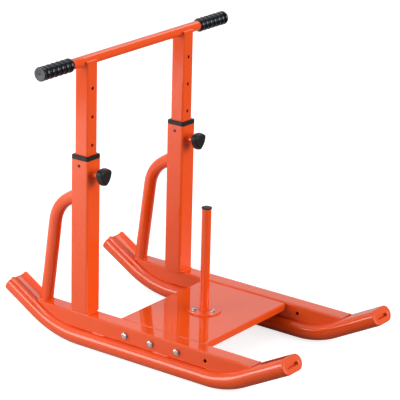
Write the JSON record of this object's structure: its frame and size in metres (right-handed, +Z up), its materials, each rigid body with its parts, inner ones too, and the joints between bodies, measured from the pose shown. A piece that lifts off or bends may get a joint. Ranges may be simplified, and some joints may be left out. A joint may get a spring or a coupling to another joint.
{
  "type": "drag sled",
  "caption": "Push and pull weight sled: bent-up tube runners, folded platform with a plate peg, braced posts and a height-adjustable push handle with pull-pin locks.",
  "frame": {"origin": "on the floor, under the middle of the sled's length and width", "axes": "+Z up, -Y the way the sled is pushed, +X to the left of someone pushing it"},
  "size_m": [0.842, 1.0074, 0.865],
  "materials": {
    "paint": "glossy orange powder coat",
    "plug_plastic": "satin orange",
    "black_plastic": "fine matte",
    "black_rubber": "ribbed, satin",
    "zinc_steel": "bright zinc plate"
  },
  "bodies": {
    "frame": {"left_runner": "paint", "left_front_runner_plug": "plug_plastic", "left_rear_runner_plug": "plug_plastic", "left_rail": "paint", "left_post": "paint", "left_post_collar": "black_plastic", "left_brace": "paint", "left_lock_boss": "paint", "left_rail_bolt_1": "zinc_steel", "left_rail_nut_1": "zinc_steel", "left_rail_bolt_2": "zinc_steel", "left_rail_nut_2": "zinc_steel", "left_rail_bolt_3": "zinc_steel", "left_rail_nut_3": "zinc_steel", "right_runner": "paint", "right_front_runner_plug": "plug_plastic", "right_rear_runner_plug": "plug_plastic", "right_rail": "paint", "right_post": "paint", "right_post_collar": "black_plastic", "right_brace": "paint", "right_lock_boss": "paint", "right_rail_bolt_1": "zinc_steel", "right_rail_nut_1": "zinc_steel", "right_rail_bolt_2": "zinc_steel", "right_rail_nut_2": "zinc_steel", "right_rail_bolt_3": "zinc_steel", "right_rail_nut_3": "zinc_steel", "platform": "paint", "peg_flange": "paint", "plate_peg": "paint", "peg_cap": "black_plastic", "peg_flange_bolt_1": "zinc_steel", "peg_flange_nut_1": "zinc_steel", "peg_flange_bolt_2": "zinc_steel", "peg_flange_nut_2": "zinc_steel", "peg_flange_bolt_3": "zinc_steel", "peg_flange_nut_3": "zinc_steel"},
    "handle": {"handlebar": "paint", "left_stem": "paint", "left_stem_foot": "black_plastic", "left_grip": "black_rubber", "right_stem": "paint", "right_stem_foot": "black_plastic", "right_grip": "black_rubber"},
    "left_lock_barrel": {"left_lock_barrel": "zinc_steel", "left_lock_spring": "zinc_steel"},
    "left_lock_pin": {"left_lock_pin": "zinc_steel", "left_lock_knob": "black_plastic"},
    "right_lock_barrel": {"right_lock_barrel": "zinc_steel", "right_lock_spring": "zinc_steel"},
    "right_lock_pin": {"right_lock_pin": "zinc_steel", "right_lock_knob": "black_plastic"}
  },
  "joints": [
    {"name": "handle_height", "type": "slide", "parent": "frame", "child": "handle", "axis": [0, 0, 1], "range_m": [-0.249, 0.083]},
    {"name": "left_lock_turn", "type": "hinge", "parent": "frame", "child": "left_lock_barrel", "pos_m": [0.222, 0.19094, 0.518], "axis": [0, -1, 0], "range_deg": [0, 360]},
    {"name": "left_lock_pull", "type": "slide", "parent": "left_lock_barrel", "child": "left_lock_pin", "axis": [0, -1, 0], "range_m": [-0.007, 0.005], "stiffness_N_per_m": 600, "deforming": ["left_lock_spring"]},
    {"name": "right_lock_turn", "type": "hinge", "parent": "frame", "child": "right_lock_barrel", "pos_m": [-0.222, 0.19094, 0.518], "axis": [0, -1, 0], "range_deg": [0, 360]},
    {"name": "right_lock_pull", "type": "slide", "parent": "right_lock_barrel", "child": "right_lock_pin", "axis": [0, -1, 0], "range_m": [-0.007, 0.005], "stiffness_N_per_m": 600, "deforming": ["right_lock_spring"]}
  ]
}
